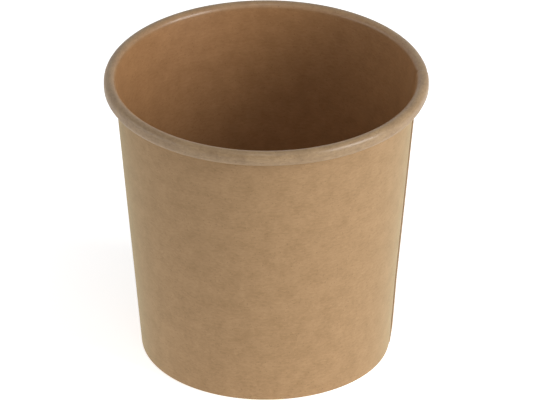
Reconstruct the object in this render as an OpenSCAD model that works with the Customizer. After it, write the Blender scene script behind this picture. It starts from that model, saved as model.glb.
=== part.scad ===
// Paper soup cup: a tapered board wall with a rolled rim, an overlapped side seam
// and a hemmed foot that grips the skirt of a recessed bottom disc.
// It stands on the plane z = 0, centred on the Z axis, with the seam close to +X.

/* [Cup] */
// Outer diameter of the rolled rim
rim_d = 90; // [86:0.5:120]
// Height from the table to the top of the rim
cup_h = 84; // [60:1:140]
// Outer diameter of the wall, carried down to the table
base_d = 69.8; // [50:0.2:76]
// Thickness of the wall's board
board_t = 0.4; // [0.3:0.02:0.5]

/* [Rolled rim] */
// Width of the rolled bead
bead_w = 3.3; // [3:0.1:5]
// Height of the rolled bead
bead_h = 4.2; // [4:0.1:7]
// Gap that the curl leaves beside the wall
curl_gap = 0.12; // [0.1:0.02:0.3]
// Length of the tail that turns up inside the bead
curl_tail = 1.2; // [0.4:0.1:1.4]

/* [Foot and bottom] */
// Thickness of the bottom disc's board
disc_t = 0.4; // [0.3:0.02:0.5]
// Height of the disc's underside above the table
recess_h = 7; // [5:0.5:12]
// Outer radius of the bend between the disc and its skirt
disc_bend_r = 1; // [0.7:0.1:2]
// Distance from the hem's cut edge up to the start of that bend
hem_gap = 0.2; // [0.1:0.1:2]
// Distance from the skirt's cut edge down to the fold's centre
skirt_gap = 0.2; // [0.1:0.1:2]
// Play on each side of the skirt in the hem
ply_fit = 0.05; // [0.03:0.01:0.1]
// Depth by which the fold is pressed flat on the table
foot_flat = 0.08; // [0.04:0.02:0.16]

/* [Side seam] */
// Direction of the outer ply's cut edge, turned from +X
seam_angle = -5; // [-180:1:180]
// Width of the overlap, halfway up the wall
lap_w = 6; // [4:0.5:12]
// Width over which the outer ply drops back to the wall
ramp_w = 2.5; // [1.5:0.5:3.5]

/* [Hidden] */
kraft = "#B8946B";
$fa = 2;
$fs = 0.2;
// Number of straight steps in each quarter turn of a section
arc_steps = 8;

rim_r = rim_d / 2;
base_r = base_d / 2;

// The curl starts on a circle of half the bead's width, and the wall's outer face
// runs from the base to the inner side of the board on that circle.
curl_r = bead_w / 2;
curl_c = [rim_r - curl_r, cup_h - curl_r];
to_curl = curl_c - [base_r, 0];
taper = atan2(to_curl[0], to_curl[1]) - asin((curl_r - board_t) / norm(to_curl));
across = [cos(taper), -sin(taper)];
along = [sin(taper), cos(taper)];

// The curl's second arc is as wide as the bead leaves it beside the wall.
bead_z = cup_h - bead_h;
under_r = ((rim_r - base_r) * cos(taper) - bead_z * sin(taper) - curl_gap)
    / (1 + cos(taper) + sin(taper));
under_c = [rim_r - under_r, bead_z + under_r];

// The foot's fold goes round the skirt of the disc with its play.
fold_r = board_t + ply_fit + disc_t / 2;
fold_z = fold_r - foot_flat;
fold_c = [base_r + fold_z * tan(taper) - fold_r / cos(taper), fold_z];
hem_top = recess_h + disc_t - disc_bend_r - hem_gap;
hem_len = (hem_top - fold_z) / cos(taper);

// The disc's bend keeps the same play to the wall's inner face.
bend_z = recess_h + disc_t - disc_bend_r;
bend_c = [base_r + bend_z * tan(taper)
    - (board_t + ply_fit + disc_bend_r) / cos(taper), bend_z];
skirt_len = along_wall(bend_c) - along_wall(fold_c) - skirt_gap;

// The seam's widths are turned into angles at the wall's middle height.
mid_r = base_r + cup_h / 2 * tan(taper);
lap_angle = arc_angle(lap_w);
lap_end = seam_angle + lap_angle;
ramp_tilt = atan((board_t + ramp_w * ramp_w / (2 * mid_r)) / ramp_w);

// The ramp and the groove are cut from a sector that is wider than the ramp.
sector_share = 1.4;
ramp_angle = arc_angle(sector_share * ramp_w);
under_len = along_wall(under_c) - along_wall(fold_c);
ply_len = under_len + curl_tail / 2;
ramp_len = under_len - under_r;
groove_low = (recess_h + disc_t - fold_z) / cos(taper) + disc_bend_r;

function along_wall(p) = p * along;
function arc_angle(width) = width / mid_r * 180 / PI;
function polar(radius, angle) = radius * [cos(angle), sin(angle)];

// A point out across the wall and up along it, from a centre.
function wall_point(centre, out, up) = centre + out * across + up * along;

// Points on an arc round a centre, from one direction to another.
function arc(centre, radius, from, to, first = 0) = [for (i = [first : arc_steps])
    centre + polar(radius, from + (to - from) * i / arc_steps)];

// Two such arcs, which meet at the highest or lowest point.
function half_turn(centre, radius, from, middle, to) = concat(
    arc(centre, radius, from, middle), arc(centre, radius, middle, to, 1));

function reversed(points) = [for (i = [len(points) - 1 : -1 : 0]) points[i]];

// One face of the sheet: hem, fold and wall, then the spiral of the rolled rim.
// The film's face is the outer side of the curl and the inner side of the fold.
function sheet_face(fold, curl, under) = concat(
    [wall_point(fold_c, -fold, hem_len)],
    half_turn(fold_c, fold, 180 - taper, 270, 360 - taper),
    half_turn(curl_c, curl, 180 - taper, 90, 0),
    half_turn(under_c, under, 0, -90, -180 - taper),
    [wall_point(under_c, -under, curl_tail)]);

// One face of the outer ply: round the foot and up behind the curl's tail.
function ply_face(fold) = concat(
    [wall_point(fold_c, -fold, hem_len)],
    half_turn(fold_c, fold, 180 - taper, 270, 360 - taper),
    [wall_point(fold_c, fold, ply_len)]);

// One face of the disc: flat, round the bend and down the skirt.
function disc_face(level, radius) = concat(
    [[0, level]],
    arc(bend_c, radius, 90, -taper),
    [wall_point(bend_c, radius, -skirt_len)]);

// Section of a board between its two faces.
module board(face, other_face) {
    polygon(concat(face, reversed(other_face)));
}

// Straight strip of the wall: from x0 to x1 across it and y0 to y1 up it.
module strip(x0, x1, y0, y1) {
    board([wall_point(fold_c, x0, y0), wall_point(fold_c, x0, y1)],
        [wall_point(fold_c, x1, y0), wall_point(fold_c, x1, y1)]);
}

// What the table leaves of a section whose fold is pressed flat.
module above_table() {
    intersection() {
        children();
        square([2 * rim_r, 2 * cup_h]);
    }
}

module sheet_section() {
    above_table() board(sheet_face(fold_r - board_t, curl_r, under_r),
        sheet_face(fold_r, curl_r - board_t, under_r - board_t));
}

// The outer ply in the overlap lies on the sheet and reaches half a board into it.
module outer_ply_section() {
    above_table() board(ply_face(fold_r - board_t / 2), ply_face(fold_r + board_t));
}

// Everything on the cup's side of a plane that stands on the wall at the end of the
// overlap, out by a distance, and drops inwards at the ramp's slope.
module inside_ramp(out) {
    reach = 2 * cup_h;
    rotate([0, 0, lap_end])
        translate([base_r + out / cos(taper), 0, 0])
            rotate([0, taper, 0]) rotate([0, 0, ramp_tilt])
                translate([-reach, -reach / 2, -reach / 2]) cube(reach);
}

// The outer ply's drop from the overlap back to the wall.
module ramp() {
    intersection() {
        rotate_extrude(angle = ramp_angle, start = lap_end)
            strip(fold_r - board_t / 2, fold_r + 2 * board_t, fold_r, ramp_len);
        inside_ramp(board_t);
    }
}

// The wedge that stays open inside the cup, beside the inner ply's cut edge.
module groove() {
    intersection() {
        rotate_extrude(angle = ramp_angle, start = lap_end)
            strip(fold_r - 2 * board_t, fold_r + board_t, groove_low,
                ramp_len - board_t);
        inside_ramp(0);
    }
}

module side_wall() {
    color(kraft) difference() {
        union() {
            rotate_extrude() sheet_section();
            rotate_extrude(angle = lap_angle, start = seam_angle) outer_ply_section();
            ramp();
        }
        groove();
    }
}

module bottom_disc() {
    color(kraft) rotate_extrude()
        board(disc_face(recess_h + disc_t, disc_bend_r),
            disc_face(recess_h, disc_bend_r - disc_t));
}

side_wall();
bottom_disc();
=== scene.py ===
"""Looks of a kraft paper soup cup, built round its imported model.

The cup is two pieces of board. The side wall is one sheet that is wrapped with an
overlapped seam, rolled to a bead at the rim and folded to a hem at the foot. The
bottom disc sits in that hem with its edge turned down.
"""

import logging
import math
from dataclasses import dataclass, field, replace
from enum import Enum

import bpy
from mathutils import Euler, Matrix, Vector


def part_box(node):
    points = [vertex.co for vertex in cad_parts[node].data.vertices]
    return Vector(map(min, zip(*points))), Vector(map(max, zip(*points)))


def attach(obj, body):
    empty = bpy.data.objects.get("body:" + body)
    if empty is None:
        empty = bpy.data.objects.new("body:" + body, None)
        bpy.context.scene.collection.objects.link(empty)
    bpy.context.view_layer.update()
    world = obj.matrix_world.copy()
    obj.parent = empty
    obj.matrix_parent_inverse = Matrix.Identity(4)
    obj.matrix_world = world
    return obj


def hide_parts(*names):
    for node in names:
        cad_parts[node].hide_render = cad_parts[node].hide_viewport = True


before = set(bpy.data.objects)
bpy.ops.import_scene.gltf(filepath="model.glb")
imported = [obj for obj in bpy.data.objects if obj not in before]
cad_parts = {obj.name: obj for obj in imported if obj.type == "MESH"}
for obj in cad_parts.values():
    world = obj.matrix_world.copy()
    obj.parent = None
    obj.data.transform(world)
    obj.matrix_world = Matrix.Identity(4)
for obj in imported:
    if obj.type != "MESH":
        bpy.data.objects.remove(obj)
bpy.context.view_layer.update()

MM = 0.001
# Two rows of a section that lie closer than this are one.
SAME_ROW = 0.001 * MM
# Points closer than this are welded, as the disc's are where they meet on the axis.
WELD = 0.0001 * MM
# The curve of the sRGB standard: a straight line up to the knee, then a power.
SRGB_KNEE = 0.04045
SRGB_SLOPE = 12.92
SRGB_SHIFT = 0.055
SRGB_POWER = 2.4
# The Mix node's colour sockets, whose names its other sockets share.
MIX_A = 6
MIX_B = 7
MIX_RESULT = 2
LOG = logging.getLogger("soup_cup")


class BoardFace(Enum):
    """The three surfaces of a board, in the order of its material slots."""

    KRAFT = 0
    FILM = 1
    CUT_EDGE = 2


class Row(Enum):
    """What a row of the board's section carries, each stored as an attribute."""

    LIFT = "lift_share"
    SWELL = "swell_share"
    FLAT = "flat_share"
    WAVE = "wave_share"
    KNURL = "knurl_share"
    RUN = "run"


def linear(hex_colour: str) -> tuple[float, float, float, float]:
    """Turns an sRGB hex colour into linear light.

    Args:
        hex_colour: Colour such as "#B8946B".

    Returns:
        Linear red, green, blue and an alpha of 1.
    """
    values = [int(hex_colour[i:i + 2], 16) / 255 for i in (1, 3, 5)]
    red, green, blue = [
        v / SRGB_SLOPE if v <= SRGB_KNEE
        else ((v + SRGB_SHIFT) / (1 + SRGB_SHIFT)) ** SRGB_POWER for v in values]
    return (red, green, blue, 1.0)


def add_node(tree: bpy.types.NodeTree, kind: str, links: dict | None = None,
             **settings: object) -> bpy.types.Node:
    """Adds a node to a tree with its settings, values and links.

    Args:
        tree: Shader or geometry tree.
        kind: The node's type name.
        links: Input name or index to a value or to the socket that feeds it.
        **settings: Properties of the node.

    Returns:
        The new node.
    """
    node = tree.nodes.new(kind)
    for name, value in settings.items():
        setattr(node, name, value)
    for key, value in (links or {}).items():
        socket = node.inputs[key]
        if isinstance(value, bpy.types.NodeSocket):
            tree.links.new(value, socket)
        else:
            socket.default_value = value
    return node


def emptied(owner: bpy.types.Material | bpy.types.World) -> bpy.types.NodeTree:
    """Gives a material or a world its node tree with nothing in it.

    Args:
        owner: The new material or world.

    Returns:
        Its tree.
    """
    owner.use_nodes = True
    owner.node_tree.nodes.clear()
    return owner.node_tree


@dataclass(frozen=True)
class PaperFinish:
    """Kraft paper board: brown unbleached fibres, calendered on a paper machine.

    The eye gets a warm matt brown, soft clouds where the fibres lie thick and thin,
    short fibres along the web and a few dark specks. A single fibre is about 0.03 mm
    wide, too fine to show, so tufts of them are drawn as coarse as they need to be.
    """

    name: str
    light: str
    dark: str
    speck: str
    roughness: float
    coat: float = 0.0
    coat_roughness: float = 0.3
    coat_ior: float = 1.5
    sheen: float = 0.0
    sheen_roughness: float = 0.4
    sheen_tint: str = "#FFFFFF"
    specular: float = 0.5
    # On the rolled rim a greyer, darker pair of colours: painted gloss and painted
    # shade.
    rolled: tuple[str, str] | None = None
    rim_shade_run: tuple[float, float] = (0.0, 1.0)
    cloud_mm: float = 5.0
    fibre_mm: float = 1.4
    fibre_width_mm: float = 0.6
    thin: float = 0.7
    thick: float = 1.3
    speck_mm: float = 1.1
    speck_core: float = 0.06
    speck_edge: float = 0.2
    speck_strength: float = 0.45
    bump_mm: float = 0.012
    on_sheet: bool = True

    def tone(self, tree: bpy.types.NodeTree,
             place: bpy.types.NodeSocket) -> bpy.types.NodeSocket:
        """Adds the clouds of the board and the fibres along its web.

        Args:
            tree: The material's tree.
            place: Where a point lies on the board.

        Returns:
            How thick the fibres lie there, round 1.
        """
        cloud = add_node(tree, "ShaderNodeTexNoise", {
            "Vector": place, "Scale": 1 / (self.cloud_mm * MM), "Detail": 4.0,
            "Roughness": 0.6})
        across = 1 / (self.fibre_width_mm * MM)
        along_web = add_node(tree, "ShaderNodeMapping", {
            "Vector": place, "Scale": (1 / (self.fibre_mm * MM), across, across)})
        fibre = add_node(tree, "ShaderNodeTexNoise", {
            "Vector": along_web.outputs["Vector"], "Scale": 1.0, "Detail": 3.0,
            "Roughness": 0.65, "Distortion": 0.6})
        return add_node(tree, "ShaderNodeMath", {
            0: cloud.outputs["Fac"], 1: fibre.outputs["Fac"]},
            operation="ADD").outputs[0]

    def brown(self, tree: bpy.types.NodeTree, place: bpy.types.NodeSocket,
              tone: bpy.types.NodeSocket) -> bpy.types.NodeSocket:
        """Adds the colour of the fibres, and on the rolled rim a greyer, darker
        colour as painted gloss and painted shade.

        Args:
            tree: The material's tree.
            place: Where a point lies on the board.
            tone: How thick the fibres lie there.

        Returns:
            The colour.
        """
        board = add_node(tree, "ShaderNodeMapRange", {
            "Value": tone, "From Min": self.thin, "From Max": self.thick})
        plain = add_node(tree, "ShaderNodeMix", {
            "Factor": board.outputs["Result"], MIX_A: linear(self.dark),
            MIX_B: linear(self.light)}, data_type="RGBA")
        if self.rolled is None:
            return plain.outputs[MIX_RESULT]
        dark, light = self.rolled
        # The greyer, darker pair on the rolled rim is painted gloss and painted
        # shade.
        painted_shade_and_gloss = add_node(tree, "ShaderNodeMix", {
            "Factor": board.outputs["Result"], MIX_A: linear(dark),
            MIX_B: linear(light)}, data_type="RGBA")
        start, end = self.rim_shade_run
        run = add_node(tree, "ShaderNodeSeparateXYZ", {0: place}).outputs["Y"]
        beyond = add_node(tree, "ShaderNodeMapRange", {
            "Value": run, "From Min": start, "From Max": end})
        return add_node(tree, "ShaderNodeMix", {
            "Factor": beyond.outputs["Result"], MIX_A: plain.outputs[MIX_RESULT],
            MIX_B: painted_shade_and_gloss.outputs[MIX_RESULT]}, data_type="RGBA").outputs[MIX_RESULT]

    def specked(self, tree: bpy.types.NodeTree, place: bpy.types.NodeSocket,
                brown: bpy.types.NodeSocket) -> bpy.types.NodeSocket:
        """Adds the few dark specks of bark in the board.

        Args:
            tree: The material's tree.
            place: Where a point lies on the board.
            brown: The colour of the fibres.

        Returns:
            The colour with its specks.
        """
        dots = add_node(tree, "ShaderNodeTexVoronoi", {
            "Vector": place, "Scale": 1 / (self.speck_mm * MM)})
        chosen = add_node(tree, "ShaderNodeMapRange", {
            "Value": dots.outputs["Distance"], "From Min": self.speck_core,
            "From Max": self.speck_edge, "To Min": self.speck_strength,
            "To Max": 0.0})
        return add_node(tree, "ShaderNodeMix", {
            "Factor": chosen.outputs["Result"], MIX_A: brown,
            MIX_B: linear(self.speck)}, data_type="RGBA").outputs[MIX_RESULT]

    def build(self) -> bpy.types.Material:
        """Builds the material.

        Returns:
            The material, whose pattern lies on the wrapped sheet or in space.
        """
        material = bpy.data.materials.new(self.name)
        tree = emptied(material)
        if self.on_sheet:
            place = add_node(tree, "ShaderNodeUVMap", uv_map="UVMap").outputs["UV"]
        else:
            place = add_node(tree, "ShaderNodeTexCoord").outputs["Object"]
        tone = self.tone(tree, place)
        bump = add_node(tree, "ShaderNodeBump", {
            "Height": tone, "Strength": 1.0, "Distance": self.bump_mm * MM})
        shader = add_node(tree, "ShaderNodeBsdfPrincipled", {
            "Base Color": self.specked(tree, place, self.brown(tree, place, tone)),
            "Roughness": self.roughness, "IOR": 1.5, "Coat Weight": self.coat,
            "Coat Roughness": self.coat_roughness, "Coat IOR": self.coat_ior,
            "Sheen Weight": self.sheen, "Sheen Roughness": self.sheen_roughness,
            "Sheen Tint": linear(self.sheen_tint),
            "Specular IOR Level": self.specular, "Normal": bump.outputs["Normal"]})
        add_node(tree, "ShaderNodeOutputMaterial", {
            "Surface": shader.outputs["BSDF"]})
        return material


# Uncoated outer face of the board: dry, matt and slightly clouded. Its loose fibres
# are a fuzz that pales it where it is seen edge on.
KRAFT_OUTSIDE = PaperFinish("kraft_outside", "#9F7F5B", "#8B6D4A", "#6A5032", 0.72,
                            sheen=0.4, sheen_tint="#ECF0C8", specular=0.3)
# Film-lined face: the same fibres under a thin film that deepens and closes them.
FILM_INSIDE = PaperFinish("kraft_film_lined", "#A77D54", "#946C46", "#6F4D30", 0.5,
                          coat=0.2, coat_roughness=0.25, coat_ior=1.9, specular=0.3,
                          bump_mm=0.008)
# Dark and light colours of the film-lined board on the rolled rim, greyer and darker:
# painted gloss and painted shade on the curl.
RIM_SHADE_AND_GLOSS = ("#7F6546", "#9A7F5C")
# The painted gloss and shade fade in between these distances along the board from the
# start of the curl.
RIM_SHADE_FROM = -0.5 * MM
RIM_SHADE_TO = 2.2 * MM
# The same two faces of the flat disc, whose web runs straight across it.
KRAFT_OF_DISC = replace(KRAFT_OUTSIDE, name="kraft_disc_outside", on_sheet=False)
FILM_OF_DISC = replace(FILM_INSIDE, name="kraft_disc_film_lined", on_sheet=False)
# Raw cut edge: the ends of the fibres, paler, greyer and rougher than the faces.
CUT_EDGE = PaperFinish("kraft_cut_edge", "#B49C7E", "#9C8366", "#77624A", 0.9,
                       cloud_mm=1.5, fibre_mm=0.8, fibre_width_mm=0.15,
                       bump_mm=0.02, on_sheet=False)


@dataclass(frozen=True)
class Ramp:
    """A smooth step from 0 at one value to 1 at another, above or below it."""

    zero: float = 0.0
    one: float = 1.0

    def at(self, value: float) -> float:
        """Reads the step, from 0 to 1."""
        share = min(max((value - self.zero) / (self.one - self.zero), 0.0), 1.0)
        return share * share * (3 - 2 * share)


@dataclass(frozen=True)
class BoardSizes:
    """Sizes of the cup's board in metres, worked out as the model's are."""

    rim_r: float
    height: float
    base_r: float = 34.9 * MM
    board_t: float = 0.4 * MM
    bead_w: float = 3.3 * MM
    bead_h: float = 4.2 * MM
    curl_gap: float = 0.12 * MM
    curl_tail: float = 1.2 * MM
    disc_t: float = 0.4 * MM
    recess_h: float = 7.0 * MM
    disc_bend_r: float = 1.0 * MM
    hem_gap: float = 0.2 * MM
    skirt_gap: float = 0.2 * MM
    ply_fit: float = 0.05 * MM
    foot_flat: float = 0.08 * MM
    lap_start: float = math.radians(-5.0)
    lap: float = math.radians(9.0)
    flat: float = 0.45 * MM
    flat_reach: float = math.radians(35.0)
    foot_share: float = 0.5

    @property
    def curl_r(self) -> float:
        """Outer radius of the curl's first arc."""
        return self.bead_w / 2

    @property
    def curl_c(self) -> Vector:
        """Centre of the curl's first arc, as radius and height."""
        return Vector((self.rim_r - self.curl_r, self.height - self.curl_r))

    @property
    def taper(self) -> float:
        """Angle by which the wall leans outwards.

        Returns:
            The angle in radians.
        """
        span = self.curl_c - Vector((self.base_r, 0.0))
        inset = math.asin((self.curl_r - self.board_t) / span.length)
        return math.atan2(span.x, span.y) - inset

    @property
    def across(self) -> Vector:
        """Direction through the wall, outwards."""
        return Vector((math.cos(self.taper), -math.sin(self.taper)))

    @property
    def along(self) -> Vector:
        """Direction up the wall."""
        return Vector((math.sin(self.taper), math.cos(self.taper)))

    @property
    def under_r(self) -> float:
        """Outer radius of the curl's second arc.

        Returns:
            The radius.
        """
        low = self.height - self.bead_h
        room = (self.rim_r - self.base_r) * self.across.x + low * self.across.y
        return (room - self.curl_gap) / (1 + self.across.x - self.across.y)

    @property
    def under_c(self) -> Vector:
        """Centre of the curl's second arc."""
        low = self.height - self.bead_h
        return Vector((self.rim_r - self.under_r, low + self.under_r))

    @property
    def fold_r(self) -> float:
        """Outer radius of the foot's fold round the disc's skirt."""
        return self.board_t + self.ply_fit + self.disc_t / 2

    @property
    def fold_c(self) -> Vector:
        """Centre of the foot's fold.

        Returns:
            The centre, as radius and height.
        """
        z = self.fold_r - self.foot_flat
        lean = math.tan(self.taper)
        return Vector((self.base_r + z * lean - self.fold_r / self.across.x, z))

    @property
    def hem_len(self) -> float:
        """Length of the hem from the fold's centre to its cut edge."""
        top = self.recess_h + self.disc_t - self.disc_bend_r - self.hem_gap
        return (top - self.fold_c.y) / self.along.y

    @property
    def wall_len(self) -> float:
        """Length of the wall from the fold's centre to the curl's."""
        return (self.curl_c - self.fold_c).dot(self.along)

    @property
    def run_to_curl(self) -> float:
        """Length of the board's middle from the hem's cut edge to the curl."""
        fold = math.pi * (self.fold_r - self.board_t / 2)
        return self.hem_len + fold + self.wall_len

    @property
    def bend_c(self) -> Vector:
        """Centre of the disc's bend into its skirt.

        Returns:
            The centre, as radius and height.
        """
        z = self.recess_h + self.disc_t - self.disc_bend_r
        inset = (self.board_t + self.ply_fit + self.disc_bend_r) / self.across.x
        return Vector((self.base_r + z * math.tan(self.taper) - inset, z))

    def at_foot(self, risen: float) -> float:
        """Share of the seam's lift and flattening, less at the pressed foot.

        Args:
            risen: Share of the way from the foot, 0, to where it is full, 1.

        Returns:
            The share.
        """
        return self.foot_share + (1.0 - self.foot_share) * risen


@dataclass
class Section:
    """A board's section as points on its middle, with what each row carries."""

    points: list[Vector] = field(default_factory=list)
    across: list[Vector] = field(default_factory=list)
    shares: dict[Row, list[float]] = field(
        default_factory=lambda: {row: [] for row in Row})

    def add(self, point: Vector, across: Vector, lift: float = 1.0,
            swell: float = 0.0, flat: float = 0.0, wave: float = 0.0,
            knurl: float = 0.0) -> None:
        """Adds a row, unless the last one lies there already.

        Args:
            point: Radius and height on the board's middle.
            across: Direction from the film's face to the kraft's.
            lift: Share of the overlap's lift that the row takes.
            swell: Share of the bead's swelling at the seam.
            flat: Share of the wall's flattening along the seam.
            wave: Share of the board's waviness.
            knurl: Share of the hem's knurling.
        """
        step = (point - self.points[-1]).length if self.points else 0.0
        if self.points and step < SAME_ROW:
            return
        run = self.shares[Row.RUN]
        run.append(run[-1] + step if run else 0.0)
        self.points.append(point)
        self.across.append(across.normalized())
        for row, share in ((Row.LIFT, lift), (Row.SWELL, swell), (Row.FLAT, flat),
                           (Row.WAVE, wave), (Row.KNURL, knurl)):
            self.shares[row].append(share)

    def mesh(self, name: str) -> bpy.types.Mesh:
        """Turns the section into a chain of edges with its attributes.

        Args:
            name: Name of the new mesh.

        Returns:
            The mesh, in the plane of X and Z.
        """
        mesh = bpy.data.meshes.new(name)
        edges = [(i, i + 1) for i in range(len(self.points) - 1)]
        mesh.from_pydata([(p.x, 0.0, p.y) for p in self.points], edges, [])
        across = mesh.attributes.new("across", "FLOAT_VECTOR", "POINT")
        for item, vector in zip(across.data, self.across):
            item.vector = (vector.x, 0.0, vector.y)
        for row, values in self.shares.items():
            attribute = mesh.attributes.new(row.value, "FLOAT", "POINT")
            attribute.data.foreach_set("value", values)
        return mesh


def polar(centre: Vector, radius: float, angle: float) -> Vector:
    """Point on a circle round a centre, at an angle in radians."""
    return centre + radius * Vector((math.cos(angle), math.sin(angle)))


WRAP_INPUTS = (
    ("Geometry", "Geometry"), ("Columns", "Int"), ("Start", "Float"),
    ("Turn", "Float"), ("Lap", "Float"), ("Ramp", "Float"), ("Lift", "Float"),
    ("Swell", "Float"), ("Swell Reach", "Float"), ("Flat", "Float"),
    ("Flat Reach", "Float"), ("Wave Height", "Float"), ("Wave Length", "Float"),
    ("Knurl Depth", "Float"), ("Ribs", "Int"), ("Mean Radius", "Float"),
    ("Seed", "Float"), ("Material", "Material"))


@dataclass
class WrapTree:
    """Geometry tree that wraps a board's section round the cup's axis.

    Every row of the section becomes a ring. The sheet's start is lifted over its end
    through the overlap, the bead swells there and the wall lies flatter. The wall is
    slightly wavy and the hem is knurled.
    """

    name: str = "wrapped_board"
    tree: bpy.types.NodeTree = field(init=False)
    group: bpy.types.NodeOutputs = field(init=False)
    row: bpy.types.NodeSocket = field(init=False)
    turned: bpy.types.NodeSocket = field(init=False)
    angle: bpy.types.NodeSocket = field(init=False)

    def add(self, kind: str, links: dict | None = None,
            **settings: object) -> bpy.types.NodeSocket:
        """Adds a node to the tree and gives its first output.

        Args:
            kind: The node's type name.
            links: Input name or index to a value or to the socket that feeds it.
            **settings: Properties of the node.

        Returns:
            The node's first output.
        """
        return add_node(self.tree, kind, links, **settings).outputs[0]

    def of_row(self, value: bpy.types.NodeSocket, kind: str) -> bpy.types.NodeSocket:
        """Reads a value of the section at the grid point's row.

        Args:
            value: The value on the section.
            kind: Its data type.

        Returns:
            The value at the row.
        """
        return add_node(self.tree, "GeometryNodeSampleIndex", {
            "Geometry": self.group["Geometry"], "Value": value, "Index": self.row},
            data_type=kind, domain="POINT").outputs["Value"]

    def share(self, what: Row) -> bpy.types.NodeSocket:
        """Reads one of the section's shares at the grid point's row.

        Args:
            what: The share.

        Returns:
            The share at the row.
        """
        named = add_node(self.tree, "GeometryNodeInputNamedAttribute",
                         {"Name": what.value}, data_type="FLOAT")
        return self.of_row(named.outputs["Attribute"], "FLOAT")

    def lay_grid(self) -> bpy.types.NodeSocket:
        """Lays a grid whose rows are the section's, and finds each point's turn.

        Returns:
            The grid's mesh.
        """
        count = add_node(self.tree, "GeometryNodeAttributeDomainSize",
                         {"Geometry": self.group["Geometry"]}, component="MESH")
        rows = count.outputs["Point Count"]
        grid = self.add("GeometryNodeMeshGrid", {
            "Size X": 1.0, "Size Y": 1.0, "Vertices X": self.group["Columns"],
            "Vertices Y": rows})
        index = self.add("GeometryNodeInputIndex")
        self.row = self.add("FunctionNodeIntegerMath", {0: index, 1: rows},
                            operation="MODULO")
        column = self.add("FunctionNodeIntegerMath", {0: index, 1: rows},
                          operation="DIVIDE_FLOOR")
        last = self.add("ShaderNodeMath", {0: self.group["Columns"], 1: 1.0},
                        operation="SUBTRACT")
        part = self.add("ShaderNodeMath", {0: column, 1: last}, operation="DIVIDE")
        self.turned = self.add("ShaderNodeMath", {0: part, 1: self.group["Turn"]},
                               operation="MULTIPLY")
        self.angle = self.add("ShaderNodeMath", {
            0: self.group["Start"], 1: self.turned}, operation="ADD")
        return grid

    def seam_lift(self) -> bpy.types.NodeSocket:
        """Lifts the sheet's start over its end and lets it drop along the ramp.

        Returns:
            The distance through the board.
        """
        ramp_end = self.add("ShaderNodeMath", {
            0: self.group["Lap"], 1: self.group["Ramp"]}, operation="ADD")
        lifted = self.add("ShaderNodeMapRange", {
            "Value": self.turned, "From Min": self.group["Lap"],
            "From Max": ramp_end, "To Min": self.group["Lift"], "To Max": 0.0},
            interpolation_type="SMOOTHSTEP")
        return self.add("ShaderNodeMath", {0: lifted, 1: self.share(Row.LIFT)},
                        operation="MULTIPLY")

    def from_seam(self, middle: bpy.types.NodeSocket) -> bpy.types.NodeSocket:
        """Measures the angle from the overlap's middle, either way round.

        Args:
            middle: Turn of the overlap's middle from the sheet's start.

        Returns:
            The angle.
        """
        ahead = self.add("ShaderNodeMath", {0: self.turned, 1: middle},
                         operation="SUBTRACT")
        back = self.add("ShaderNodeMath", {0: self.turned, 1: math.tau},
                        operation="SUBTRACT")
        behind = self.add("ShaderNodeMath", {0: back, 1: middle},
                          operation="SUBTRACT")
        return self.add("ShaderNodeMath", {
            0: self.add("ShaderNodeMath", {0: ahead}, operation="ABSOLUTE"),
            1: self.add("ShaderNodeMath", {0: behind}, operation="ABSOLUTE")},
            operation="MINIMUM")

    def seam_bulge(self) -> bpy.types.NodeSocket:
        """Swells the bead over the seam and flattens the wall beside it.

        Returns:
            The distance outwards from the axis.
        """
        middle = self.add("ShaderNodeMath", {0: self.group["Lap"], 1: 0.5},
                          operation="MULTIPLY")
        from_seam = self.from_seam(middle)
        swell_end = self.add("ShaderNodeMath", {
            0: middle, 1: self.group["Swell Reach"]}, operation="ADD")
        swollen = self.add("ShaderNodeMapRange", {
            "Value": from_seam, "From Min": middle, "From Max": swell_end,
            "To Min": self.group["Swell"], "To Max": 0.0},
            interpolation_type="SMOOTHSTEP")
        flattened = self.add("ShaderNodeMapRange", {
            "Value": from_seam, "From Max": self.group["Flat Reach"],
            "To Min": self.group["Flat"], "To Max": 0.0},
            interpolation_type="SMOOTHSTEP")
        bulge = self.add("ShaderNodeMath", {0: swollen, 1: self.share(Row.SWELL)},
                         operation="MULTIPLY")
        hollow = self.add("ShaderNodeMath", {0: flattened, 1: self.share(Row.FLAT)},
                          operation="MULTIPLY")
        return self.add("ShaderNodeMath", {0: bulge, 1: hollow},
                        operation="SUBTRACT")

    def waviness(self, place: bpy.types.NodeSocket) -> bpy.types.NodeSocket:
        """Adds the slow waves of the board, fixed by the seed.

        Args:
            place: The row's point in the section.

        Returns:
            The distance through the board.
        """
        nominal = self.add("ShaderNodeVectorRotate", {
            "Vector": place, "Angle": self.angle}, rotation_type="Z_AXIS")
        waves = self.add("ShaderNodeMath", {0: 1.0, 1: self.group["Wave Length"]},
                         operation="DIVIDE")
        noise = add_node(self.tree, "ShaderNodeTexNoise", {
            "Vector": nominal, "W": self.group["Seed"], "Scale": waves,
            "Detail": 1.0}, noise_dimensions="4D")
        swing = self.add("ShaderNodeMapRange", {
            "Value": noise.outputs["Fac"], "To Min": -1.0, "To Max": 1.0},
            clamp=False)
        height = self.add("ShaderNodeMath", {0: swing, 1: self.group["Wave Height"]},
                          operation="MULTIPLY")
        return self.add("ShaderNodeMath", {0: height, 1: self.share(Row.WAVE)},
                        operation="MULTIPLY")

    def knurling(self) -> bpy.types.NodeSocket:
        """Adds the upright ribs that seal the hem to the disc's skirt.

        Returns:
            The distance through the board.
        """
        turn = self.add("ShaderNodeMath", {0: self.angle, 1: self.group["Ribs"]},
                        operation="MULTIPLY")
        rib = self.add("ShaderNodeMath", {0: turn}, operation="SINE")
        depth = self.add("ShaderNodeMath", {0: rib, 1: self.group["Knurl Depth"]},
                         operation="MULTIPLY")
        return self.add("ShaderNodeMath", {0: depth, 1: self.share(Row.KNURL)},
                        operation="MULTIPLY")

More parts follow.
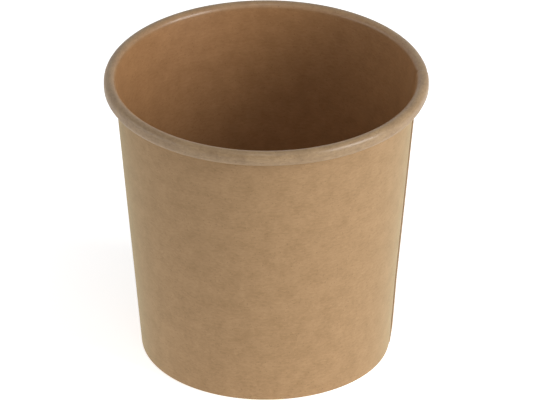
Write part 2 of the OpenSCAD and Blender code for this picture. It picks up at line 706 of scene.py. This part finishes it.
    def position(self) -> bpy.types.NodeSocket:
        """Moves a row's point through the board and outwards, then turns it.

        Returns:
            The grid point's place on the wrapped sheet.
        """
        place = self.of_row(self.add("GeometryNodeInputPosition"), "FLOAT_VECTOR")
        through = add_node(self.tree, "GeometryNodeInputNamedAttribute",
                           {"Name": "across"}, data_type="FLOAT_VECTOR")
        across = self.of_row(through.outputs["Attribute"], "FLOAT_VECTOR")
        raised = self.add("ShaderNodeMath", {
            0: self.seam_lift(), 1: self.waviness(place)}, operation="ADD")
        out = self.add("ShaderNodeMath", {0: raised, 1: self.knurling()},
                       operation="ADD")
        moved = self.add("ShaderNodeVectorMath", {0: across, "Scale": out},
                         operation="SCALE")
        widened = self.add("ShaderNodeCombineXYZ", {"X": self.seam_bulge()})
        offset = self.add("ShaderNodeVectorMath", {0: moved, 1: widened},
                          operation="ADD")
        shaped = self.add("ShaderNodeVectorMath", {0: place, 1: offset},
                          operation="ADD")
        return self.add("ShaderNodeVectorRotate", {
            "Vector": shaped, "Angle": self.angle}, rotation_type="Z_AXIS")

    def build(self) -> bpy.types.NodeTree:
        """Builds the tree with its named inputs.

        Returns:
            The tree.
        """
        self.tree = bpy.data.node_groups.new(self.name, "GeometryNodeTree")
        for name, kind in WRAP_INPUTS:
            self.tree.interface.new_socket(name, in_out="INPUT",
                                           socket_type="NodeSocket" + kind)
        self.tree.interface.new_socket("Geometry", in_out="OUTPUT",
                                       socket_type="NodeSocketGeometry")
        self.group = add_node(self.tree, "NodeGroupInput").outputs
        grid = self.lay_grid()
        sheet = self.add("GeometryNodeSetPosition", {
            "Geometry": grid, "Position": self.position()})
        round_wall = self.add("ShaderNodeMath", {
            0: self.angle, 1: self.group["Mean Radius"]}, operation="MULTIPLY")
        on_sheet = self.add("ShaderNodeCombineXYZ", {
            "X": round_wall, "Y": self.share(Row.RUN)})
        at_points = self.add("GeometryNodeFieldOnDomain", {"Value": on_sheet},
                             data_type="FLOAT_VECTOR", domain="POINT")
        held = self.add("GeometryNodeStoreNamedAttribute", {
            "Geometry": sheet, "Name": "UVMap", "Value": at_points},
            data_type="FLOAT2", domain="CORNER")
        merged = self.add("GeometryNodeMergeByDistance", {
            "Geometry": held, "Distance": WELD})
        smooth = self.add("GeometryNodeSetShadeSmooth", {"Geometry": merged})
        real = self.add("GeometryNodeRealizeInstances", {"Geometry": smooth})
        dressed = self.add("GeometryNodeSetMaterial", {
            "Geometry": real, "Material": self.group["Material"]})
        add_node(self.tree, "NodeGroupOutput", {"Geometry": dressed})
        return self.tree


def bake(piece: bpy.types.Object) -> None:
    """Turns a piece's evaluated shape into its own plain mesh, without modifiers.

    Args:
        piece: Object with modifiers.
    """
    depsgraph = bpy.context.evaluated_depsgraph_get()
    mesh = bpy.data.meshes.new_from_object(
        piece.evaluated_get(depsgraph), preserve_all_data_layers=True,
        depsgraph=depsgraph)
    piece.modifiers.clear()
    piece.data = mesh


@dataclass
class Board:
    """A piece of board: its section is wrapped round the axis and given thickness."""

    name: str
    thickness: float
    finishes: dict[BoardFace, bpy.types.Material]
    inputs: dict[str, float | int]

    def make(self, section: Section, tree: bpy.types.NodeTree) -> bpy.types.Object:
        """Builds the board from its section.

        Args:
            section: Rows on the middle of the board.
            tree: The wrapping tree.

        Returns:
            The finished object, with its place in its mesh.
        """
        piece = bpy.data.objects.new(self.name, section.mesh(self.name + "_section"))
        bpy.context.scene.collection.objects.link(piece)
        wrap = piece.modifiers.new("wrap", "NODES")
        wrap.node_group = tree
        named = {item.name: item.identifier for item in tree.interface.items_tree
                 if item.in_out == "INPUT"}
        for name, value in self.inputs.items():
            wrap[named[name]] = value
        wrap[named["Material"]] = self.finishes[BoardFace.KRAFT]
        bake(piece)
        piece.data.materials.clear()
        for face in BoardFace:
            piece.data.materials.append(self.finishes[face])
        solid = piece.modifiers.new("thickness", "SOLIDIFY")
        solid.thickness = self.thickness
        solid.offset = 0.0
        solid.use_rim = True
        solid.material_offset = BoardFace.FILM.value
        solid.material_offset_rim = BoardFace.CUT_EDGE.value
        bake(piece)
        piece.data.name = self.name
        return piece


@dataclass
class SideWall:
    """The wrapped sheet: hem, fold, tapered wall and rolled bead.

    Parts of the hem count from the fold, 0, to its cut edge, 1. Parts of the wall
    count from the fold, 0, to the curl, 1.
    """

    sizes: BoardSizes
    columns: int = 739
    ramp: float = math.radians(6.0)
    glue: float = 0.01 * MM
    swell: float = 0.14 * MM
    swell_reach: float = math.radians(12.0)
    wave_h: float = 0.1 * MM
    wave_l: float = 38.0 * MM
    wave_seed: float = 3.0
    wave_foot: Ramp = Ramp(0.06, 0.26)
    wave_rim: Ramp = Ramp(0.98, 0.83)
    knurl: float = 0.05 * MM
    ribs: int = 180
    knurl_low: Ramp = Ramp(0.0, 0.12)
    knurl_high: Ramp = Ramp(1.0, 0.94)
    hem_parts: tuple[float, ...] = (1.0, 0.94, 0.7, 0.4, 0.12, 0.0)
    hem_lift: Ramp = Ramp(0.0, 0.4)
    fold_steps: int = 10
    fold_pressed: Ramp = Ramp(0.2, 1.0)
    table_gap: float = 0.015 * MM
    wall_parts: tuple[float, ...] = (0.02, 0.06, 0.14, 0.24, 0.35, 0.46, 0.57, 0.68,
                                     0.78, 0.87, 0.94, 0.98)
    wall_lift: Ramp = Ramp(0.0, 0.06)
    flat_foot: Ramp = Ramp(0.1, 0.2)
    flat_rim: Ramp = Ramp(1.0, 0.9)
    curl_steps: int = 14
    curl_lift: float = 0.35
    under_steps: int = 12

    def add_hem(self, section: Section) -> None:
        """Runs down the knurled hem from its cut edge to the fold.

        Args:
            section: The section that takes the rows.
        """
        s = self.sizes
        foot = s.fold_c - s.across * (s.fold_r - s.board_t / 2)
        for part in self.hem_parts:
            section.add(foot + s.along * s.hem_len * part, -s.across,
                        lift=s.at_foot(self.hem_lift.at(part)), flat=s.foot_share,
                        knurl=self.knurl_high.at(part) * self.knurl_low.at(part))

    def add_fold(self, section: Section) -> None:
        """Runs round the foot's fold, which is pressed flat on the table.

        Args:
            section: The section that takes the rows.
        """
        s = self.sizes
        half = s.board_t / 2
        for i in range(self.fold_steps + 1):
            angle = math.pi - s.taper + math.pi * i / self.fold_steps
            point = polar(s.fold_c, s.fold_r - half, angle)
            out = (point - s.fold_c).normalized()
            point.y = max(point.y, half + self.table_gap)
            section.add(point, out,
                        lift=s.foot_share * (1.0 - self.fold_pressed.at(-out.y)),
                        flat=s.foot_share)

    def add_wall(self, section: Section) -> None:
        """Runs up the tapered wall, which is wavy and lies flatter at the seam.

        Args:
            section: The section that takes the rows.
        """
        s = self.sizes
        foot = s.fold_c + s.across * (s.fold_r - s.board_t / 2)
        for part in self.wall_parts:
            flat = s.at_foot(self.flat_foot.at(part)) * self.flat_rim.at(part)
            section.add(foot + s.along * s.wall_len * part, s.across,
                        lift=s.at_foot(self.wall_lift.at(part)), flat=flat,
                        wave=self.wave_foot.at(part) * self.wave_rim.at(part))

    def add_bead(self, section: Section) -> None:
        """Runs round the curl's two arcs and up its tail inside the bead.

        Args:
            section: The section that takes the rows.
        """
        s = self.sizes
        half = s.board_t / 2
        rolled = Ramp()
        for i in range(self.curl_steps + 1):
            part = i / self.curl_steps
            point = polar(s.curl_c, s.curl_r - half, (math.pi - s.taper) * (1 - part))
            section.add(point, s.curl_c - point,
                        lift=1.0 - (1.0 - self.curl_lift) * rolled.at(part),
                        swell=rolled.at(part))
        for i in range(self.under_steps + 1):
            angle = -(math.pi + s.taper) * i / self.under_steps
            point = polar(s.under_c, s.under_r - half, angle)
            section.add(point, s.under_c - point, lift=self.curl_lift, swell=1.0)
        section.add(section.points[-1] + s.along * s.curl_tail, s.across,
                    lift=self.curl_lift, swell=1.0)

    def build(self, tree: bpy.types.NodeTree,
              finishes: dict[BoardFace, bpy.types.Material]) -> bpy.types.Object:
        """Builds and dresses the side wall.

        Args:
            tree: The wrapping tree.
            finishes: Material of each face of the board.

        Returns:
            The side wall's object.
        """
        s = self.sizes
        section = Section()
        self.add_hem(section)
        self.add_fold(section)
        self.add_wall(section)
        self.add_bead(section)
        inputs = {
            "Columns": self.columns, "Start": s.lap_start, "Turn": math.tau + s.lap,
            "Lap": s.lap, "Ramp": self.ramp, "Lift": s.board_t + self.glue,
            "Swell": self.swell, "Swell Reach": self.swell_reach, "Flat": s.flat,
            "Flat Reach": s.flat_reach, "Wave Height": self.wave_h,
            "Wave Length": self.wave_l, "Knurl Depth": self.knurl,
            "Ribs": self.ribs, "Mean Radius": (s.base_r + s.rim_r) / 2,
            "Seed": self.wave_seed}
        board = Board("kraft_side_wall", s.board_t, finishes, inputs)
        piece = board.make(section, tree)
        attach(piece, "root")
        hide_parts("side_wall")
        return piece


@dataclass
class BottomDisc:
    """The recessed disc with its edge turned down into the hem.

    Parts of the disc count from the axis, 0, to the bend, 1, and parts of the skirt
    from the bend, 0, to its cut edge, 1.
    """

    sizes: BoardSizes
    columns: int = 181
    wave_h: float = 0.12 * MM
    wave_l: float = 24.0 * MM
    wave_seed: float = 8.0
    wave_edge: Ramp = Ramp(1.0, 0.75)
    disc_parts: tuple[float, ...] = (0.0, 0.1, 0.22, 0.36, 0.5, 0.64, 0.77, 0.88,
                                     0.95, 1.0)
    bend_steps: int = 6
    skirt_parts: tuple[float, ...] = (0.5, 1.0)

    def section(self) -> Section:
        """Runs the board's middle from the axis to the skirt's cut edge.

        Returns:
            The section.
        """
        s = self.sizes
        half = s.disc_t / 2
        section = Section()
        for part in self.disc_parts:
            section.add(Vector((s.bend_c.x * part, s.recess_h + half)),
                        Vector((0.0, -1.0)), flat=part * s.foot_share,
                        wave=self.wave_edge.at(part))
        for i in range(self.bend_steps + 1):
            angle = math.pi / 2 - (math.pi / 2 + s.taper) * i / self.bend_steps
            point = polar(s.bend_c, s.disc_bend_r - half, angle)
            section.add(point, s.bend_c - point, flat=s.foot_share)
        length = (s.bend_c - s.fold_c).dot(s.along) - s.skirt_gap
        start = section.points[-1]
        for part in self.skirt_parts:
            section.add(start - s.along * length * part, -s.across,
                        flat=s.foot_share)
        return section

    def build(self, tree: bpy.types.NodeTree,
              finishes: dict[BoardFace, bpy.types.Material]) -> bpy.types.Object:
        """Builds and dresses the disc, which has no overlap, bead or ribs.

        Args:
            tree: The wrapping tree.
            finishes: Material of each face of the board.

        Returns:
            The disc's object.
        """
        s = self.sizes
        inputs = {
            "Columns": self.columns, "Start": s.lap_start, "Turn": math.tau,
            "Lap": s.lap, "Ramp": 1.0, "Lift": 0.0, "Swell": 0.0,
            "Swell Reach": 1.0, "Flat": s.flat, "Flat Reach": s.flat_reach,
            "Wave Height": self.wave_h, "Wave Length": self.wave_l,
            "Knurl Depth": 0.0, "Ribs": 1, "Mean Radius": s.base_r,
            "Seed": self.wave_seed}
        board = Board("kraft_bottom_disc", s.disc_t, finishes, inputs)
        piece = board.make(self.section(), tree)
        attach(piece, "root")
        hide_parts("bottom_disc")
        return piece


@dataclass(frozen=True)
class Camera:
    """A long lens from above, as the photograph was taken."""

    focal_px: float = 10000.0
    frame_w_px: float = 533.0
    sensor: float = 36.0
    clip_start: float = 0.1
    pitch: float = math.radians(29.47)
    distance: float = 2789.5 * MM
    aim: tuple[float, float, float] = (0.128 * MM, 0.0, 44.28 * MM)

    def build(self) -> bpy.types.Object:
        """Creates the camera and makes it the scene's own.

        Returns:
            The camera's object.
        """
        lens = bpy.data.cameras.new("camera")
        lens.sensor_width = self.sensor
        lens.lens = self.focal_px / self.frame_w_px * self.sensor
        lens.clip_start = self.clip_start
        camera = bpy.data.objects.new("camera", lens)
        back = Vector((0.0, -math.cos(self.pitch), math.sin(self.pitch)))
        camera.location = Vector(self.aim) + back * self.distance
        camera.rotation_euler = Euler((math.pi / 2 - self.pitch, 0.0, 0.0))
        bpy.context.scene.collection.objects.link(camera)
        bpy.context.scene.camera = camera
        return camera


@dataclass(frozen=True)
class Lamp:
    """A soft box that shines at the middle of the cup.

    Its azimuth turns from the camera's side towards +X, and both angles are degrees.
    """

    name: str
    azimuth: float
    elevation: float
    distance: float
    size: float
    power: float

    def build(self, target: Vector) -> bpy.types.Object:
        """Creates the lamp.

        Args:
            target: The point that it shines at.

        Returns:
            The lamp's object.
        """
        light = bpy.data.lights.new(self.name, "AREA")
        light.shape = "SQUARE"
        light.size = self.size
        light.energy = self.power
        lamp = bpy.data.objects.new(self.name, light)
        turn = math.radians(self.azimuth)
        rise = math.radians(self.elevation)
        away = Vector((math.cos(rise) * math.sin(turn),
                       -math.cos(rise) * math.cos(turn), math.sin(rise)))
        lamp.location = target + away * self.distance
        lamp.rotation_euler = away.to_track_quat("Z", "Y").to_euler()
        bpy.context.scene.collection.objects.link(lamp)
        return lamp


def seen_directly(tree: bpy.types.NodeTree) -> bpy.types.NodeSocket:
    """Tells rays of the lens, of reflections and through glass from light's own.

    Args:
        tree: The tree of a world or a material.

    Returns:
        A socket that is 1 for a ray that looks at the surface and 0 otherwise.
    """
    path = add_node(tree, "ShaderNodeLightPath").outputs
    either = add_node(tree, "ShaderNodeMath", {
        0: path["Is Camera Ray"], 1: path["Is Glossy Ray"]}, operation="MAXIMUM")
    return add_node(tree, "ShaderNodeMath", {
        0: either.outputs[0], 1: path["Is Transmission Ray"]},
        operation="MAXIMUM").outputs[0]


@dataclass(frozen=True)
class Studio:
    """White table, white surround and soft lamps.

    The table glows a little, most at its middle, as a light table does, and the lens
    sees it and the surround plain white.
    """

    table: float = 3.0
    table_white: float = 0.92
    table_glow: float = 0.78
    glow_reach: float = 0.45
    table_seen: float = 0.62
    fill: float = 0.31
    lamps: tuple[Lamp, ...] = (
        Lamp("key", azimuth=61.0, elevation=22.0, distance=0.8, size=0.45, power=5.3),
        Lamp("left_fill", azimuth=-80.0, elevation=3.0, distance=0.9, size=0.9,
             power=3.3),
        Lamp("top", azimuth=0.0, elevation=65.0, distance=0.9, size=0.3, power=0.9),
    )

    def backdrop(self) -> bpy.types.World:
        """Makes the surround: plain white to the lens, softer on the object.

        Returns:
            The world.
        """
        world = bpy.data.worlds.new("surround")
        tree = emptied(world)
        level = add_node(tree, "ShaderNodeMapRange", {
            "Value": seen_directly(tree), "To Min": self.fill, "To Max": 1.0})
        light = add_node(tree, "ShaderNodeBackground", {
            "Color": (1.0, 1.0, 1.0, 1.0), "Strength": level.outputs["Result"]})
        add_node(tree, "ShaderNodeOutputWorld", {"Surface": light.outputs[0]})
        bpy.context.scene.world = world
        return world

    def light_table(self) -> bpy.types.Material:
        """Makes the matt white sheet of a light table: no gloss, and a soft glow.

        Returns:
            The material.
        """
        material = bpy.data.materials.new("white_table")
        tree = emptied(material)
        white = self.table_white
        paint = add_node(tree, "ShaderNodeBsdfDiffuse", {
            "Color": (white, white, white, 1.0)})
        place = add_node(tree, "ShaderNodeTexCoord").outputs["Object"]
        away = add_node(tree, "ShaderNodeVectorMath", {0: place}, operation="LENGTH")
        middle = add_node(tree, "ShaderNodeMapRange", {
            "Value": away.outputs["Value"], "From Max": self.glow_reach,
            "To Min": self.table_glow, "To Max": 0.0},
            interpolation_type="SMOOTHSTEP")
        level = add_node(tree, "ShaderNodeMapRange", {
            "Value": seen_directly(tree), "To Min": middle.outputs["Result"],
            "To Max": self.table_seen})
        glow = add_node(tree, "ShaderNodeEmission", {
            "Strength": level.outputs["Result"]})
        both = add_node(tree, "ShaderNodeAddShader", {
            0: paint.outputs[0], 1: glow.outputs[0]})
        add_node(tree, "ShaderNodeOutputMaterial", {"Surface": both.outputs[0]})
        return material

    def floor(self) -> bpy.types.Object:
        """Makes the white table, which keeps the cup's soft shadow.

        Returns:
            The table's object.
        """
        half = self.table / 2
        mesh = bpy.data.meshes.new("table")
        mesh.from_pydata([(-half, -half, 0.0), (half, -half, 0.0), (half, half, 0.0),
                          (-half, half, 0.0)], [], [(0, 1, 2, 3)])
        mesh.materials.append(self.light_table())
        table = bpy.data.objects.new("table", mesh)
        bpy.context.scene.collection.objects.link(table)
        return table

    def build(self, target: Vector) -> None:
        """Builds the studio.

        Args:
            target: The point that the lamps shine at.
        """
        self.backdrop()
        self.floor()
        for lamp in self.lamps:
            lamp.build(target)
        bpy.context.scene.view_settings.view_transform = "Standard"


def main() -> None:
    """Builds the camera, the two pieces of board and the studio."""
    logging.basicConfig(level=logging.INFO, format="%(name)s: %(message)s")
    Camera().build()
    _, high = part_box("side_wall")
    sizes = BoardSizes(rim_r=high[0], height=high[2])
    tree = WrapTree().build()
    curl = sizes.run_to_curl
    # The lining gets painted gloss and painted shade on the rolled rim.
    film = replace(FILM_INSIDE, rolled=RIM_SHADE_AND_GLOSS,
                   rim_shade_run=(curl + RIM_SHADE_FROM, curl + RIM_SHADE_TO))
    cut_edge = CUT_EDGE.build()
    wrapped = {BoardFace.FILM: film.build(), BoardFace.KRAFT: KRAFT_OUTSIDE.build(),
               BoardFace.CUT_EDGE: cut_edge}
    punched = {BoardFace.FILM: FILM_OF_DISC.build(),
               BoardFace.KRAFT: KRAFT_OF_DISC.build(), BoardFace.CUT_EDGE: cut_edge}
    for piece in (SideWall(sizes).build(tree, wrapped),
                  BottomDisc(sizes).build(tree, punched)):
        LOG.info("%s: %d faces", piece.name, len(piece.data.polygons))
    Studio().build(Vector((0.0, 0.0, sizes.height / 2)))


if __name__ == "__main__":
    main()
